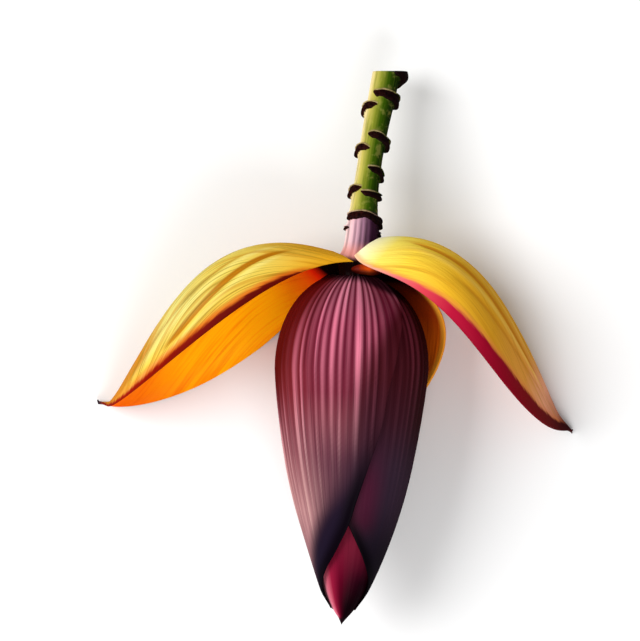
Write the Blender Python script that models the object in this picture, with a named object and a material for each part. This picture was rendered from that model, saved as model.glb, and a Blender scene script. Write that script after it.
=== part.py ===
"""Banana blossom, cut with a length of its stalk and laid on a table.

The blossom lies along Y, with the cut stalk towards +Y and the tip of the closed bud towards -Y. X
runs across it, Z is up, and the origin is on the table under the middle of the whole blossom.
Everything is in metres.

The bud is a nest of bracts. Its heart is solid, and three closed bracts wrap it one over another,
each a thin sheet offset outward from the heart's surface. Three raised bracts leave the neck above
the bud: each is a sheet hung on three guide curves, its near margin, its middle line and its far
margin, joined at every station by an arc.
"""
import math

import bmesh
import bpy
import numpy as np

MM = 0.001

# Bud: where its top and tip lie, and the shape of its heart.
BUD_TOP = np.array([12.5, 44.8, 51.2]) * MM
BUD_TIP = np.array([3.7, -163.4, 51.2]) * MM
BUD_RADIUS = 47.1 * MM
WIDEST_BELOW_TOP = 57.6 * MM
SHOULDER_POWER = 2.13       # superellipse power of the shoulder's outline
TAPER_POWERS = (1.27, 0.63)  # outline from the widest place to the tip: (1 - t**a)**b
BUD_BOW = 1.6 * MM          # how far the bud's middle line bows towards +X below the widest place
LAYERS = 3
LAYER_PITCH_BELLY = 2.1 * MM  # one closed bract and the gap under it, at the widest place
LAYER_PITCH_TIP = 0.95 * MM
BRACT_SHARE = 0.66          # share of the pitch that is bract and not gap
HEART_RADIUS = BUD_RADIUS - LAYERS * LAYER_PITCH_BELLY
HEART_BELOW_TOP = LAYERS * LAYER_PITCH_BELLY
NECK_OPENING = 0.17         # where the closed bracts start, as a share of the shoulder's quarter turn
TIP_THINNING = (0.55, 0.95)  # shares of the bud's length between which the pitch thins to the tip's
HEART_ENDS = (-0.97, 0.89)  # stations of the heart's first ring, and of its last before the point
HEART_POINT = (2.8 * MM, 0.4 * MM)  # how far the heart's point stands past the tip, and its radius

# Closed bracts: margins as (distance below the bud's top in mm, angle round the bud in degrees).
# The angle is 0 on top, +90 on the +X side and -90 on the -X side.
FRONT_BRACT_MARGINS = {
    "left": [(0, -190), (60, -186), (120, -182), (160, -176), (180, -170), (192, -158), (201, -134)],
    "right": [(0, 52), (20, 47), (41, 36), (65, 28), (92, 23), (115, 14), (135, 5), (149, -2), (158, -10),
              (169, -24), (180, -46), (188, -62), (201, -70)],
}
RIGHT_BRACT_MARGINS = {
    "left": [(0, -34), (60, -34), (105, -22), (135, -9), (150, 0), (159, 10), (168, 23), (176, 37),
             (184, 55), (193, 70), (202, 76)],
    "right": [(0, 196), (60, 200), (120, 204), (165, 198), (188, 184), (202, 146)],
}
BACK_BRACT_MARGINS = {
    "left": [(0, -250), (90, -246), (150, -228), (185, -212), (202, -184)],
    "right": [(0, -46), (90, -50), (150, -56), (185, -64), (202, -88)],
}

# Rachis: its middle line (mm), then its radii.
STALK_LINE = [(12.6, 40, 51), (13.8, 52, 51), (15.3, 66, 50), (17, 88, 47), (20, 110, 42),
              (23.5, 131, 37), (26.8, 147, 32), (29.8, 163, 27)]
STALK_END = 166.4           # Y of the square cut (mm)
STALK_RADIUS = 8.2          # mm
STALK_ROOT_RADIUS = 11.2    # mm, inside the bud's opening
NECK_RADIUS = 13.0          # mm
# Outline of the plain stalk: (share of its length, radius in mm).
STALK_OUTLINE = [(0, STALK_ROOT_RADIUS), (0.03, STALK_ROOT_RADIUS), (0.09, NECK_RADIUS), (0.14, 10.6),
                 (0.2, 9.7), (0.27, 9.3), (0.34, 8.4), (1, STALK_RADIUS)]
# Ledges left by fallen bracts: the highest place as a share of the stalk's length, the angles in
# degrees where the ledge starts, is highest and ends, how steeply its rim drops away in mm, and its
# size against the others.
LEDGES = [(1.035, 10, 34, 150, 6, 1.7), (0.913, -50, 8, 128, 4.5, 1.1), (0.844, -128, -50, -8, 9, 1),
          (0.712, -38, 6, 126, 5, 1.1), (0.648, -128, -50, -4, 9, 1), (0.546, -14, 24, 126, 5, 1),
          (0.448, -126, -48, -14, 9, 1), (0.424, -30, 14, 112, 2.5, 0.9), (0.326, -88, -10, 116, 4.5, 1),
          (0.255, -118, -84, -50, 6, 0.6), (0.236, 56, 92, 128, 8, 0.6)]
LEDGE_HEIGHT = (1.0, 1.9)   # mm on the stalk's upper side, and what is added at its flanks
LEDGE_DEPTH = (3.5, 2.1)    # mm from the rim down to the plain stalk, and what is added at the flanks
LEDGE_END_DEPTH = 0.12      # depth at a ledge's ends, as a share of the full one
LEDGE_BULGE = (0.62, 0.75)  # share of the height just under the rim, and what the bulge adds to it
LEDGE_FLARE = 1.6           # mm over which the stalk above flares out to the rim
LEDGE_END_TURN = 34         # degrees over which a ledge fades out at its ends
SQUARING = 0.86             # share of the length where the rings start turning square to Y

# Raised bracts: control points of the guide curves in mm, base to tip.
LEFT_BRACT = {
    "near": [(10, 51, 68.5), (-31, 52, 80), (-74, 17, 98), (-139, -48, 60), (-141, -34, 2.5)],
    "middle": [(-2, 57.5, 52), (-56, 71, 58), (-98, 57, 62), (-116, -32, 30), (-141, -35, 1.5)],
    "far": [(8, 51, 33), (-24, 30, -8), (-36, -14, -4), (-112, -41, 4), (-141, -36, 0)],
    "half_turn": 100,
}
RIGHT_BRACT = {
    "near": [(11, 55, 69), (18.7, 36.8, 67.8), (69.2, 53.8, 87.9), (79, -6.8, 98.6), (119.1, -53.1, 56.4),
             (141, -51, 2.5)],
    "middle": [(30, 64, 52), (54, 71, 60), (99, 56, 60), (108, 8, 30), (141, -52, 1.5)],
    "far": [(17, 50, 34), (46, 47, 8), (88, 23, -4), (116, -30, 4), (141, -53, 0)],
    "half_turn": 95,
}
BACK_BRACT = {
    "near": [(28, 45.5, 49), (54, 40.5, 46), (107, 6.5, 42), (38, -40, 14), (9, -84, 1)],
    "middle": [(13, 45.5, 35), (12.5, 40, 9), (12, 12, -12), (10, -45, -4), (8, -85, 0.5)],
    "far": [(0, 46, 42), (-22, 38, 29), (-46, 6, 27), (-36, -50, 12), (7, -84, 1)],
    "half_turn": 78,
}
RAISED_THICKNESS = 3.0 * MM
RAISED_MARGIN_SHARE = 0.45  # thickness at a margin, as a share of the middle's

# Flower cushion: a crescent round the neck between the raised bracts and the bud.
CUSHION_RING_RADIUS = 15.6 * MM
CUSHION_CENTRE = np.array([13.3, 46.4, 51.2]) * MM
CUSHION_THICKNESS = (3.4 * MM, 3.2 * MM)  # across the ring, and along the neck
CUSHION_TURN = (-18, 72)    # degrees, from the top round towards +X
CUSHION_BLUNTNESS = 0.6     # power of the sine that thins the crescent at its ends

# Colours (linear) with roughness.
STALK_GREEN = ((0.09, 0.16, 0.012), 0.55)
CUSHION_ORANGE = ((0.55, 0.11, 0.015), 0.45)
BRACT_YELLOW = ((0.72, 0.40, 0.06), 0.42)
BRACT_ORANGE = ((0.80, 0.26, 0.015), 0.42)
BUD_PLUM = ((0.17, 0.035, 0.06), 0.48)
BUD_SLATE = ((0.10, 0.022, 0.045), 0.48)
BUD_BROWN = ((0.14, 0.02, 0.015), 0.50)
HEART_CRIMSON = ((0.16, 0.006, 0.03), 0.45)


def clear_scene():
    """Remove every object the file starts with."""
    for obj in list(bpy.data.objects):
        bpy.data.objects.remove(obj, do_unlink=True)


def add_material(name, finish):
    """A Principled material of one colour and roughness, not metallic."""
    colour, roughness = finish
    material = bpy.data.materials.new(name)
    material.use_nodes = True
    shader = material.node_tree.nodes["Principled BSDF"]
    shader.inputs["Base Color"].default_value = (*colour, 1.0)
    shader.inputs["Roughness"].default_value = roughness
    shader.inputs["Metallic"].default_value = 0.0
    return material


def smooth_through(points, x):
    """A smooth curve through (x, value) points: cubic Hermite spans with mean slopes."""
    known_x, known = np.array(points, float).T
    slope = np.gradient(known, known_x)
    span = np.clip(np.searchsorted(known_x, x) - 1, 0, len(known_x) - 2)
    width = known_x[span + 1] - known_x[span]
    t = np.clip((x - known_x[span]) / width, 0, 1)
    start = known[span] * (1 + 2 * t) + slope[span] * width * t
    end = known[span + 1] * (3 - 2 * t) - slope[span + 1] * width * (1 - t)
    return start * (1 - t) ** 2 + end * t ** 2


def bezier(control, u):
    """Points at u along the Bezier curve of the control points, which are in mm."""
    degree = len(control) - 1
    weights = [math.comb(degree, i) * u ** i * (1 - u) ** (degree - i) for i in range(degree + 1)]
    return np.stack(weights, axis=-1) @ np.array(control, float) * MM


def unit(vectors):
    return vectors / np.linalg.norm(vectors, axis=-1, keepdims=True)


def add_object(name, points, faces, material):
    """A smooth shaded mesh object whose faces all point outward."""
    mesh = bpy.data.meshes.new(name)
    mesh.from_pydata(points.tolist(), [], faces)
    work = bmesh.new()
    work.from_mesh(mesh)
    bmesh.ops.recalc_face_normals(work, faces=work.faces)
    work.to_mesh(mesh)
    work.free()
    mesh.shade_smooth()
    mesh.materials.append(material)
    obj = bpy.data.objects.new(name, mesh)
    bpy.context.scene.collection.objects.link(obj)
    return obj


def add_rings(name, rings, material):
    """A closed solid through rings of points, with a flat or pointed cap of triangles at each end."""
    count, around = rings.shape[:2]
    ring_faces = [
        (i * around + j, i * around + (j + 1) % around,
         (i + 1) * around + (j + 1) % around, (i + 1) * around + j)
        for i in range(count - 1) for j in range(around)
    ]
    first, last = count * around, count * around + 1
    caps = [(first, (j + 1) % around, j) for j in range(around)]
    top = (count - 1) * around
    caps += [(last, top + j, top + (j + 1) % around) for j in range(around)]
    points = np.vstack([rings.reshape(-1, 3), rings[0].mean(axis=0), rings[-1].mean(axis=0)])
    return add_object(name, points, ring_faces + caps, material)


def add_sheet(name, grid, outward, thickness, thickness_share, material):
    """A sheet through a grid of outer points, made solid inward by a Solidify modifier.

    outward is the way that the sheet's outside faces at its middle. thickness_share has a value for
    each grid point: the sheet's thickness there over the full one.
    """
    rows, columns = grid.shape[:2]
    r, c = rows // 2, columns // 2
    facing = np.cross(grid[r + 1, c] - grid[r, c], grid[r, c + 1] - grid[r, c]) @ outward
    if facing > 0:
        grid, thickness_share = grid[:, ::-1], thickness_share[:, ::-1]
    faces = [
        (i * columns + j, i * columns + j + 1, (i + 1) * columns + j + 1, (i + 1) * columns + j)
        for i in range(rows - 1) for j in range(columns - 1)
    ]
    mesh = bpy.data.meshes.new(name)
    mesh.from_pydata(grid.reshape(-1, 3).tolist(), [], faces)
    mesh.shade_smooth()
    mesh.materials.append(material)
    obj = bpy.data.objects.new(name, mesh)
    bpy.context.scene.collection.objects.link(obj)
    group = obj.vertex_groups.new(name="thickness")
    for index, share in enumerate(thickness_share.ravel().tolist()):
        group.add([index], share, "REPLACE")
    solid = obj.modifiers.new("wall", "SOLIDIFY")
    solid.thickness = thickness
    solid.offset = -1.0
    solid.vertex_group = group.name
    return obj


# ---------------------------------------------------------------- the bud

BUD_AXIS = unit(BUD_TIP - BUD_TOP)
BUD_UP = np.array([0.0, 0.0, 1.0])
BUD_SIDE = unit(np.cross(BUD_UP, -BUD_AXIS))
BUD_SIDE = BUD_SIDE * np.sign(BUD_SIDE[0])
BUD_LENGTH = np.linalg.norm(BUD_TIP - BUD_TOP)


def heart_outline(station):
    """Distance below the bud's top and radius of the heart's outline.

    Station runs from -1 at the top through 0 at the widest place to 1 at the tip: a superellipse
    quarter, then the taper.
    """
    quarter = np.clip(1 + station, 0, 1) * math.pi / 2
    power = 2 / SHOULDER_POWER
    shoulder = WIDEST_BELOW_TOP - HEART_BELOW_TOP
    fall = np.clip(station, 0, 1)
    t = np.sin(fall * math.pi / 2)
    down = np.where(
        station < 0,
        WIDEST_BELOW_TOP - shoulder * np.cos(quarter) ** power,
        WIDEST_BELOW_TOP + (BUD_LENGTH - WIDEST_BELOW_TOP) * t,
    )
    taper = (1 - t ** TAPER_POWERS[0]) ** TAPER_POWERS[1]
    radius = HEART_RADIUS * np.where(station < 0, np.sin(quarter) ** power, taper)
    return down, radius


def heart_normal(station):
    """Outward normal of the heart's outline, as (along the axis, outward)."""
    step = 0.002
    down_0, radius_0 = heart_outline(np.maximum(station - step, -1 + 1e-6))
    down_1, radius_1 = heart_outline(np.minimum(station + step, 1 - 1e-6))
    normal = np.stack([radius_0 - radius_1, down_1 - down_0], axis=-1)
    return unit(normal)


def bud_point(down, radius, angle):
    """Place of a point given by its distance down the bud, radius and angle in degrees.

    The bud's middle line is its axis, bowed sideways by a sine of t^1.5 between the widest place and
    the tip.
    """
    turn = np.radians(angle)[..., None]
    outward = BUD_SIDE * np.sin(turn) + BUD_UP * np.cos(turn)
    t = np.clip((down - WIDEST_BELOW_TOP) / (BUD_LENGTH - WIDEST_BELOW_TOP), 0, 1)
    bow = BUD_BOW * np.sin(math.pi * t ** 1.5)
    return BUD_TOP + BUD_AXIS * down[..., None] + BUD_SIDE * bow[..., None] + outward * radius[..., None]


def layer_pitch(down):
    """Bract and gap together: full over the belly, thinner towards the tip."""
    start, end = TIP_THINNING
    share = np.clip((down / BUD_LENGTH - start) / (end - start), 0, 1)
    share = share * share * (3 - 2 * share)
    return LAYER_PITCH_BELLY + (LAYER_PITCH_TIP - LAYER_PITCH_BELLY) * share


def add_closed_bract(name, layer, margins, material, rows=19, columns=21):
    """A closed bract: part of the surface that lies `layer` pitches outside the heart's."""
    tip = margins["right"][-1][0] * MM
    last = 2 / math.pi * math.asin(min(1, (tip - WIDEST_BELOW_TOP) / (BUD_LENGTH - WIDEST_BELOW_TOP)))
    station = np.linspace(NECK_OPENING - 1, last, rows)
    down, radius = heart_outline(station)
    normal = heart_normal(station)
    offset = layer * layer_pitch(down)
    left = smooth_through(margins["left"], down / MM)
    right = smooth_through(margins["right"], down / MM)
    across = np.linspace(0, 1, columns)
    angle = left[:, None] + (right - left)[:, None] * across
    down_outer = (down + normal[:, 0] * offset)[:, None] + np.zeros_like(angle)
    radius_outer = (radius + normal[:, 1] * offset)[:, None] + np.zeros_like(angle)
    grid = bud_point(down_outer, radius_outer, angle)
    share = (layer_pitch(down) / LAYER_PITCH_BELLY)[:, None] + np.zeros_like(angle)
    outward = grid[rows // 2, columns // 2] - (BUD_TOP + BUD_AXIS * down_outer[rows // 2, 0])
    return add_sheet(name, grid, outward, LAYER_PITCH_BELLY * BRACT_SHARE, share, material)


def add_heart(material, rows=22, around=24):
    """The solid nest inside the closed bracts, with its little hooked point."""
    station = np.linspace(*HEART_ENDS, rows)
    down, radius = heart_outline(station)
    past_tip, point_radius = HEART_POINT
    down = np.append(down, BUD_LENGTH + past_tip)
    radius = np.append(radius, point_radius)
    angle = np.linspace(0, 360, around, endpoint=False)
    wide = np.ones((len(down), around))
    rings = bud_point(down[:, None] * wide, radius[:, None] * wide, angle * wide)
    return add_rings("bud_heart", rings, material)


# ---------------------------------------------------------------- the rachis

def stalk_line(share):
    """Points on the stalk's middle line at shares of its length along Y."""
    points = np.array(STALK_LINE, float)
    known = (points[:, 1] - points[0, 1]) / (points[-1, 1] - points[0, 1])
    return np.stack([smooth_through(np.c_[known, axis], share) for axis in points.T], axis=-1) * MM


def ledge_height(share, angle, length):
    """How far the ledges stand out in mm, at shares of the stalk's length and angles in degrees.

    A ledge's rim is a line round the stalk that drops by K (1 - cos) of the angle from its highest
    place. Above the rim the stalk flares out to it, and below it the ledge bulges and rounds off.
    Both the height and the depth are greatest on the stalk's flanks.
    """
    height = np.zeros((len(share), len(angle)))
    flank = np.sin(np.radians(angle)) ** 2
    for place, start, crest, end, drop, size in LEDGES:
        line = place * length - drop * (1 - np.cos(np.radians(angle - crest)))
        above = share[:, None] * length - line[None, :]
        inside = (end - start) / 2 - np.abs(angle - (start + end) / 2)
        reach = np.clip(inside / LEDGE_END_TURN, 0, 1)
        tall = size * (LEDGE_HEIGHT[0] + LEDGE_HEIGHT[1] * flank) * reach
        full = size * (LEDGE_DEPTH[0] + LEDGE_DEPTH[1] * flank)
        depth = full * (LEDGE_END_DEPTH + (1 - LEDGE_END_DEPTH) * reach)
        below = np.clip(-above / depth, 0, 1)
        bulge = (LEDGE_BULGE[0] + LEDGE_BULGE[1] * below) * np.sqrt(1 - below ** 4)
        flare = np.exp(-np.clip(above, 0, None) / LEDGE_FLARE)
        height = np.maximum(height, tall * np.where(above > 0, flare, bulge))
    return height


def add_rachis(material, rows=76, around=18):
    """The stalk: rings along its middle line that carry the ledges, and turn square to Y at the cut."""
    share = np.linspace(0, 1, rows)
    angle = np.linspace(-180, 180, around, endpoint=False)
    turn = np.radians(angle)
    start = STALK_LINE[0][1]
    length = STALK_END - start
    tangent = unit(stalk_line(np.minimum(share + 0.01, 1)) - stalk_line(np.maximum(share - 0.01, 0)))
    side = unit(np.cross(tangent, [0.0, 0.0, 1.0]))
    up = np.cross(side, tangent)
    outward = side[:, None] * np.sin(turn)[None, :, None] + up[:, None] * np.cos(turn)[None, :, None]
    radius = smooth_through(STALK_OUTLINE, share)[:, None] + ledge_height(share, angle, length)
    rings = stalk_line(share)[:, None] + outward * radius[..., None] * MM
    square = np.clip((share - SQUARING) / (1 - SQUARING), 0, 1)
    square = (square * square * (3 - 2 * square))[:, None]
    plane = (start + length * share[:, None]) * MM
    shift = square * (plane - rings[..., 1]) / tangent[:, None, 1]
    rings = rings + tangent[:, None] * shift[..., None]
    return add_rings("rachis", rings, material)


def add_flower_cushion(material, rows=13, around=10):
    """A crescent round the neck: an oval section swept through part of a turn, thinning at its ends."""
    turn = np.radians(np.linspace(*CUSHION_TURN, rows))
    swell = np.sin(np.linspace(0.12, math.pi - 0.12, rows)) ** CUSHION_BLUNTNESS
    outward = np.stack([np.sin(turn), np.zeros(rows), np.cos(turn)], axis=-1)
    section = np.linspace(0, 2 * math.pi, around, endpoint=False)
    across, along = (0.5 * size for size in CUSHION_THICKNESS)
    reach = across * swell[:, None] * (1 + np.cos(section)[None, :])
    rings = CUSHION_CENTRE + outward[:, None] * (CUSHION_RING_RADIUS - across + reach)[..., None]
    rings[..., 1] += 2 * along * swell[:, None] * np.sin(section)[None, :]
    return add_rings("flower_cushion", rings, material)


# ---------------------------------------------------------------- the raised bracts

def raised_grid(guides, rows, columns):
    """Grid of a raised bract's outer surface.

    At each station the section is P = C + A sin(a) + B (1 - cos(a)), where a runs over the half turn
    from one margin to the other, C is on the middle line, and A and B carry the section's ends to
    the two margins. Nothing lies below the table.
    """
    u = np.linspace(0, 1, rows)
    near, middle, far = (bezier(guides[line], u) for line in ("near", "middle", "far"))
    half = math.radians(guides["half_turn"])
    across = (near - far) / (2 * math.sin(half))
    rise = ((near + far) / 2 - middle) / (1 - math.cos(half))
    a = np.linspace(half, -half, columns)
    grid = (middle[:, None] + across[:, None] * np.sin(a)[None, :, None]
            + rise[:, None] * (1 - np.cos(a))[None, :, None])
    grid[..., 2] = np.maximum(grid[..., 2], 0)
    return grid, -rise[rows // 2]


def add_raised_bract(name, guides, material, rows=17, columns=15):
    """A raised bract: thickest along its middle line near the base, thin at its margins and tip."""
    grid, outward = raised_grid(guides, rows, columns)
    across = np.abs(np.linspace(-1, 1, columns))[None, :]
    along = np.linspace(0, 1, rows)[:, None]
    share = 1 - (1 - RAISED_MARGIN_SHARE) * np.maximum(across, along) ** 3
    return add_sheet(name, grid, outward, RAISED_THICKNESS, share, material)


def build_blossom():
    clear_scene()
    add_rachis(add_material("stalk_green", STALK_GREEN))
    add_flower_cushion(add_material("cushion_orange", CUSHION_ORANGE))
    add_raised_bract("left_bract", LEFT_BRACT, add_material("bract_yellow", BRACT_YELLOW))
    add_raised_bract("right_bract", RIGHT_BRACT, add_material("bract_gold", BRACT_YELLOW))
    add_raised_bract("back_bract", BACK_BRACT, add_material("bract_orange", BRACT_ORANGE))
    add_closed_bract("bud_bract_front", 3, FRONT_BRACT_MARGINS, add_material("bud_plum", BUD_PLUM))
    add_closed_bract("bud_bract_right", 2, RIGHT_BRACT_MARGINS, add_material("bud_slate", BUD_SLATE))
    add_closed_bract("bud_bract_back", 1, BACK_BRACT_MARGINS, add_material("bud_brown", BUD_BROWN))
    add_heart(add_material("heart_crimson", HEART_CRIMSON))


build_blossom()
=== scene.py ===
"""Looks of a banana blossom lying on a table.

The closed bud is a nest of ribbed plum bracts over a crimson heart. Three raised bracts, yellow outside
and orange inside, leave the neck above it, and the stalk beyond is green with dark scar ledges. Every
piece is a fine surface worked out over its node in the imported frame. Everything is in metres.
"""
import math

import bpy
import numpy as np
from mathutils import Matrix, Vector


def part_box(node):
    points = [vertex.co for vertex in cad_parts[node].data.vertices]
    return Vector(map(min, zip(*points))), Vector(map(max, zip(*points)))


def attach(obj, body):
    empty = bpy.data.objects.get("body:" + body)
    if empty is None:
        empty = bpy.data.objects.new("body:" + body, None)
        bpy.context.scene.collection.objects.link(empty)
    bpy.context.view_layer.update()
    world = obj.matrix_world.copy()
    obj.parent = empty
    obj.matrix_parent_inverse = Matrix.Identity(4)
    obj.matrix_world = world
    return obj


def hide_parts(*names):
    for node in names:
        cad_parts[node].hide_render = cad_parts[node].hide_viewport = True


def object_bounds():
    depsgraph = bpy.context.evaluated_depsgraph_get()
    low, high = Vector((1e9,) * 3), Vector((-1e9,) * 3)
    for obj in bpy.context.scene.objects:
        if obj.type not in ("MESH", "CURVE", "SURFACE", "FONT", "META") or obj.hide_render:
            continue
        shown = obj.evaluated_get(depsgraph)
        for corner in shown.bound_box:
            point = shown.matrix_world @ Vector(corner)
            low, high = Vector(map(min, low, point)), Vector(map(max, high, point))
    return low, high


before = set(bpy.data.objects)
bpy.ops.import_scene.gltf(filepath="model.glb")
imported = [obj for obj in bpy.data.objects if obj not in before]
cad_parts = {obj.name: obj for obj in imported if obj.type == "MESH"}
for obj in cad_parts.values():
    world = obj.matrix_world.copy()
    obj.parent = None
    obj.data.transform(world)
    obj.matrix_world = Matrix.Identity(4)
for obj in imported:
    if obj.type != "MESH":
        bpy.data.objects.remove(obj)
cad_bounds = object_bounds()

MM = 0.001
BODY = "root"


# ---------------------------------------------------------------- places read from the frame

def node_box(node):
    """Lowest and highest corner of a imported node, as arrays."""
    low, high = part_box(node)
    return np.array(low), np.array(high)


def from_shares(node, shares):
    """Points given as shares of a node's box, from its lowest corner to its highest."""
    low, high = node_box(node)
    return low + np.array(shares, float) * (high - low)


HEART_LOW, HEART_HIGH = node_box("bud_heart")
HEART_RADIUS = 0.5005 * (HEART_HIGH[2] - HEART_LOW[2])
BUD_TOP, BUD_TIP = from_shares("bud_heart", [(0.5299, 1.0305, 0.5), (0.4219, 0.0137, 0.5)])
BUD_LENGTH = np.linalg.norm(BUD_TIP - BUD_TOP)
BUD_AXIS = (BUD_TIP - BUD_TOP) / BUD_LENGTH
BUD_UP = np.array([0.0, 0.0, 1.0])
BUD_SIDE = np.cross(BUD_AXIS, BUD_UP)
BUD_SIDE *= np.sign(BUD_SIDE[0])

# Shape of the heart and of the closed bracts over it.
WIDEST_BELOW_TOP = 57.6 * MM
SHOULDER_POWER = 2.13
TAPER_POWERS = (1.27, 0.63)
BUD_BOW = 1.6 * MM
PITCH_BELLY = 2.1 * MM
PITCH_TIP = 0.95 * MM
PITCH_THINS = (0.55, 0.95)
PITCH_HUGS = (0.91, 0.965)
HUG_SHARE = 0.35
HEART_BELOW_TOP = 3 * PITCH_BELLY
BRACT_SHARE = 0.66
NECK_OPENING = 0.17

# Margins of the closed bracts: (distance below the bud's top in mm, angle round the bud in degrees).
# The angle is 0 on top, +90 on the +X side.
FRONT_MARGINS = {
    "left": [(0, -190), (60, -186), (120, -182), (160, -176), (180, -170), (192, -158), (201, -134)],
    "right": [(0, 52), (20, 47), (41, 36), (65, 28), (92, 23), (115, 14), (135, 5), (149, -2), (158, -10),
              (169, -24), (180, -46), (188, -62), (201, -70)],
}
RIGHT_MARGINS = {
    "left": [(0, -34), (60, -34), (105, -22), (135, -9), (150, 0), (159, 10), (168, 23), (176, 37), (184, 55),
             (193, 70), (202, 76)],
    "right": [(0, 196), (60, 200), (120, 204), (165, 198), (188, 184), (202, 146)],
}
BACK_MARGINS = {
    "left": [(0, -250), (90, -246), (150, -228), (185, -212), (202, -184)],
    "right": [(0, -46), (90, -50), (150, -56), (185, -64), (202, -88)],
}

# Guide curves of the raised bracts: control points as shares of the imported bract's box, base to tip.
# The half turn is in degrees, and the hook is how far the tip is drawn out, in mm.
LEFT_GUIDES = {
    "near": [(1, .888, .815), (.729, .898, .951), (.444, .545, 1.165), (.014, -.112, .713),
             (.001, .03, .03)],
    "middle": [(.921, .954, .618), (.563, 1.09, .69), (.285, .949, .737), (.166, .05, .357),
               (.001, .02, .018)],
    "far": [(.987, .888, .392), (.775, .676, -.095), (.696, .232, -.048), (.193, -.041, .048),
            (.001, .01, 0)],
    "half_turn": 100, "hook": (-4.3, 1.3, 0.4),
}
RIGHT_GUIDES = {
    "near": [(0, .913, .839), (.059, .76, .825), (.447, .903, 1.069), (.522, .392, 1.199),
             (.83, .003, .686), (.998, .02, .03)],
    "middle": [(.131, .997, .632), (.33, 1.047, .73), (.676, .921, .73), (.745, .517, .365),
               (.998, .012, .018)],
    "far": [(.046, .871, .414), (.269, .845, .097), (.591, .643, -.049), (.806, .197, .049), (.998, .003, 0)],
    "half_turn": 95, "hook": (3.2, 0.2, 0),
}
BACK_GUIDES = {
    "near": [(.61, .996, .997), (.877, .958, .936), (1.421, .698, .855), (.712, .344, .285),
             (.415, .008, .02)],
    "middle": [(.456, .996, .712), (.451, .954, .183), (.445, .74, -.244), (.425, .305, -.081),
               (.404, 0, .01)],
    "far": [(.322, 1, .855), (.096, .939, .59), (-.15, .695, .549), (-.048, .267, .244),
            (.394, .008, .02)],
    "half_turn": 78, "hook": (0, 0, 0),
}
HOOK_FROM = 0.93
RAISED_THICKNESS = 3.0 * MM
RAISED_MARGIN_SHARE = 0.45
RAISED_TIP_SHARE, THINS_FROM = 0.35, 0.88

# Stalk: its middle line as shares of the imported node's box, then its radii.
STALK_LINE = [(.2793, .0086, .721), (.3079, .1027, .721), (.3436, .2125, .6996), (.3841, .3851, .6353),
              (.4556, .5576, .5281), (.5389, .7224, .421), (.6175, .8478, .3138), (.689, .9733, .2066)]
STALK_RADIUS = 8.2 * MM
# Outline of the plain stalk: (share of its length, radius in mm).
STALK_OUTLINE = [(0, 11.2), (0.03, 11.2), (0.09, 13), (0.14, 10.6), (0.2, 9.7), (0.27, 9.3),
                 (0.34, 8.4), (1, 8.2)]
# Ledges: the highest place as a share of the stalk's length, the angles in degrees where a ledge starts,
# is highest and ends, how steeply it drops away from its highest place in mm, and its size.
LEDGES = [(1.035, 10, 34, 150, 6, 1.7), (.913, -50, 8, 128, 2.8, 1.15), (.852, -128, -44, -6, 9, 1),
          (.712, -38, 6, 126, 5, 1.1), (.65, -128, -50, -4, 9, 1), (.546, -14, 24, 126, 5, 1),
          (.448, -126, -48, -14, 9, 1), (.424, -30, 14, 112, 1, 0.9), (.326, -88, -10, 116, 4.5, 1.1),
          (.255, -118, -84, -50, 6, 0.6), (.236, 56, 92, 128, 8, 0.6)]


# ---------------------------------------------------------------- shapes

def unit(vectors):
    """Vectors of length 1 in the same directions."""
    return vectors / np.maximum(np.linalg.norm(vectors, axis=-1, keepdims=True), 1e-12)


def smoothstep(low, high, x):
    """0 below low, 1 above high, and a smooth 3t^2 - 2t^3 between them."""
    t = np.clip((x - low) / (high - low), 0, 1)
    return t * t * (3 - 2 * t)


def bell(x, centre, width):
    """A Gaussian hump of height 1: e to the power of -((x - centre) / width)^2."""
    return np.exp(-((x - centre) / width) ** 2)


def smooth_through(points, x):
    """A smooth curve through (x, value) points: cubic Hermite spans with mean slopes."""
    known_x, known = np.array(points, float).T
    slope = np.gradient(known, known_x)
    span = np.clip(np.searchsorted(known_x, x) - 1, 0, len(known_x) - 2)
    width = known_x[span + 1] - known_x[span]
    t = np.clip((x - known_x[span]) / width, 0, 1)
    start = known[span] * (1 + 2 * t) + slope[span] * width * t
    end = known[span + 1] * (3 - 2 * t) - slope[span + 1] * width * (1 - t)
    return start * (1 - t) ** 2 + end * t ** 2


def bezier(control, u):
    """Points at u along the Bezier curve of the control points."""
    degree = len(control) - 1
    weights = [math.comb(degree, i) * u ** i * (1 - u) ** (degree - i) for i in range(degree + 1)]
    return np.stack(weights, axis=-1) @ np.asarray(control)


def grid_normals(grid, outward):
    """Unit normals of a grid surface, from its central differences, on the side that outward faces."""
    normal = unit(np.cross(np.gradient(grid, axis=0), np.gradient(grid, axis=1)))
    middle = normal[grid.shape[0] // 2, grid.shape[1] // 2]
    return normal * np.sign(middle @ outward)


def arc_lengths(grid, axis):
    """Distance along the grid's lines from their first point."""
    steps = np.linalg.norm(np.diff(grid, axis=axis), axis=-1)
    start = np.zeros_like(np.take(steps, [0], axis=axis))
    return np.concatenate([start, np.cumsum(steps, axis=axis)], axis=axis)


def waver(x, seed, waves):
    """A smooth irregular curve of about -1 to 1: a few sines of rising frequency with seeded phases."""
    rng = np.random.default_rng(seed)
    total = np.zeros_like(x, dtype=float)
    for k in range(1, waves + 1):
        total += np.sin(2 * math.pi * (k + rng.uniform(-0.3, 0.3)) * x + rng.uniform(0, 6.28)) / k ** 0.7
    return total / waves ** 0.5


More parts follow.
